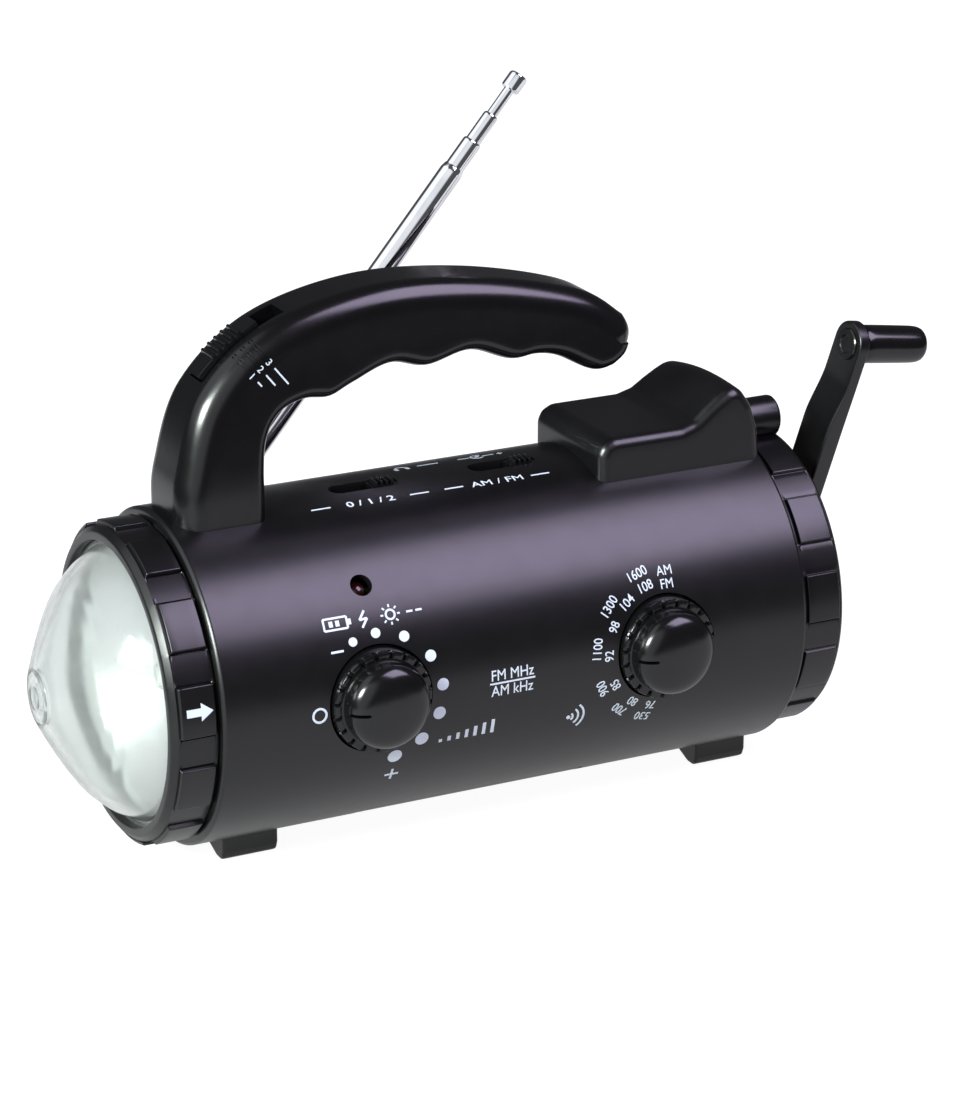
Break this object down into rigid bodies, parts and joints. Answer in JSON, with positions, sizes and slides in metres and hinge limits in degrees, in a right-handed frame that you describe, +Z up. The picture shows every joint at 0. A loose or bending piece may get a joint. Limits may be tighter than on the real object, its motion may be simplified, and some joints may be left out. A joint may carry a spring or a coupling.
{
  "type": "emergency radio",
  "caption": "Hand-crank emergency radio and torch: barrel body on feet, domed lens, finger-grooved carry handle, tuning and volume knobs, folding crank and telescopic antenna.",
  "frame": {"origin": "on the surface the feet stand on, under the middle of the overall length and in the barrel's middle plane", "axes": "+X along the barrel from the lens to the crank, +Y away from the knobs, +Z up"},
  "size_m": [0.2376, 0.0978, 0.1746],
  "materials": {
    "satin_black_plastic": "satin moulded",
    "gloss_black_plastic": "polished",
    "dark_grey_plastic": "matt moulded",
    "clear_plastic": "clear, lightly frosted",
    "bulb_glass": "clear",
    "mirror_coat": "vacuum-plated",
    "chrome_plate": "polished",
    "steel": "plain",
    "brass": "plain",
    "rubber": "matt",
    "circuit_board": "solder-masked",
    "white_nylon": "moulded",
    "cell_wrap": "shrink-wrapped",
    "pack_wrap": "shrink-wrapped",
    "red_lens": "polished"
  },
  "bodies": {
    "body": {"barrel_shell_near": "satin_black_plastic", "barrel_shell_far": "satin_black_plastic", "handle_shell_near": "satin_black_plastic", "handle_shell_far": "satin_black_plastic", "front_collar": "dark_grey_plastic", "reflector": "mirror_coat", "bulb": "bulb_glass", "bulb_base": "brass", "bulb_holder": "dark_grey_plastic", "rear_cap": "satin_black_plastic", "rear_post": "satin_black_plastic", "top_housing": "satin_black_plastic", "front_foot": "satin_black_plastic", "rear_foot": "satin_black_plastic", "power_switch": "steel", "band_switch": "steel", "mode_switch": "dark_grey_plastic", "volume_pot": "steel", "tuning_capacitor": "white_nylon", "main_board": "circuit_board", "switch_board": "circuit_board", "charge_led": "red_lens", "dc_jack": "dark_grey_plastic", "phone_jack": "dark_grey_plastic", "speaker": "dark_grey_plastic", "battery_tray": "dark_grey_plastic", "aa_cell_1": "cell_wrap", "aa_cell_2": "cell_wrap", "aa_cell_3": "cell_wrap", "rechargeable_pack": "pack_wrap", "gearbox_plate": "steel", "dynamo_case": "steel", "antenna_bracket": "satin_black_plastic", "antenna_pin": "chrome_plate"},
    "bezel": {"front_bezel": "satin_black_plastic", "lens_gasket": "rubber", "dome_lens": "clear_plastic"},
    "volume": {"volume_knob": "gloss_black_plastic", "volume_shaft": "steel"},
    "tuning": {"tuning_knob": "gloss_black_plastic", "tuning_shaft": "steel"},
    "power_slide": {"power_slider": "gloss_black_plastic"},
    "band_slide": {"band_slider": "gloss_black_plastic"},
    "mode_slide": {"mode_slider": "gloss_black_plastic"},
    "crank": {"crank_shaft": "steel", "crank_hinge_pin": "steel", "drive_gear": "white_nylon"},
    "crank_lever": {"crank_arm": "satin_black_plastic", "crank_knob_axle": "steel"},
    "crank_grip": {"crank_knob": "gloss_black_plastic"},
    "step": {"step_gear": "white_nylon"},
    "rotor": {"dynamo_rotor": "steel"},
    "antenna": {"antenna_tube": "chrome_plate"},
    "antenna_2": {"antenna_section_2": "chrome_plate"},
    "antenna_3": {"antenna_section_3": "chrome_plate"},
    "antenna_4": {"antenna_section_4": "chrome_plate"},
    "door": {"battery_door": "satin_black_plastic"}
  },
  "joints": [
    {"name": "bezel_twist", "type": "hinge", "parent": "body", "child": "bezel", "pos_m": [-0.0922, 0, 0.046], "axis": [1, 0, 0], "range_deg": [-30, 0]},
    {"name": "volume_turn", "type": "hinge", "parent": "body", "child": "volume", "pos_m": [-0.0459, -0.042, 0.0475], "axis": [0, 1, 0], "range_deg": [0, 260]},
    {"name": "tuning_turn", "type": "hinge", "parent": "body", "child": "tuning", "pos_m": [0.031, -0.042, 0.0475], "axis": [0, 1, 0], "range_deg": [-80, 80]},
    {"name": "power_travel", "type": "slide", "parent": "body", "child": "power_slide", "axis": [-1, 0, 0], "range_m": [0, 0.01]},
    {"name": "band_travel", "type": "slide", "parent": "body", "child": "band_slide", "axis": [-1, 0, 0], "range_m": [0, 0.01]},
    {"name": "mode_travel", "type": "hinge", "parent": "body", "child": "mode_slide", "pos_m": [-0.0354, 0, 0.0851], "axis": [0, 1, 0], "range_deg": [0, 5.7]},
    {"name": "crank_turn", "type": "hinge", "parent": "body", "child": "crank", "pos_m": [0.0798, 0, 0.046], "axis": [1, 0, 0], "continuous": true},
    {"name": "crank_fold", "type": "hinge", "parent": "crank", "child": "crank_lever", "pos_m": [0.0878, 0, 0.046], "axis": [0, 0.9703, 0.2419], "range_deg": [-8.6, 171.4]},
    {"name": "crank_knob_spin", "type": "hinge", "parent": "crank_lever", "child": "crank_grip", "pos_m": [0.09767, -0.01579, 0.10932], "axis": [0.9888, 0.0362, -0.1451], "continuous": true},
    {"name": "step_turn", "type": "hinge", "parent": "body", "child": "step", "pos_m": [0.0688, 0, 0.026], "axis": [1, 0, 0], "continuous": true},
    {"name": "rotor_turn", "type": "hinge", "parent": "body", "child": "rotor", "pos_m": [0.0538, 0.01732, 0.036], "axis": [1, 0, 0], "continuous": true},
    {"name": "antenna_swing", "type": "hinge", "parent": "body", "child": "antenna", "pos_m": [-0.0584, 0.0433, 0.064], "axis": [0, 1, 0], "range_deg": [-80, 49.9]},
    {"name": "antenna_slide_2", "type": "slide", "parent": "antenna", "child": "antenna_2", "axis": [0.6441, 0, 0.7649], "range_m": [-0.0075, 0.084]},
    {"name": "antenna_slide_3", "type": "slide", "parent": "antenna_2", "child": "antenna_3", "axis": [0.6441, 0, 0.7649], "range_m": [-0.0075, 0.084]},
    {"name": "antenna_slide_4", "type": "slide", "parent": "antenna_3", "child": "antenna_4", "axis": [0.6441, 0, 0.7649], "range_m": [-0.0075, 0.084]},
    {"name": "door_lift", "type": "slide", "parent": "body", "child": "door", "axis": [0, 0, -1], "range_m": [0, 0.03]}
  ],
  "couplings": [
    {"joint": "step_turn", "follows": "crank_turn", "ratio": -4},
    {"joint": "rotor_turn", "follows": "crank_turn", "ratio": 16}
  ]
}
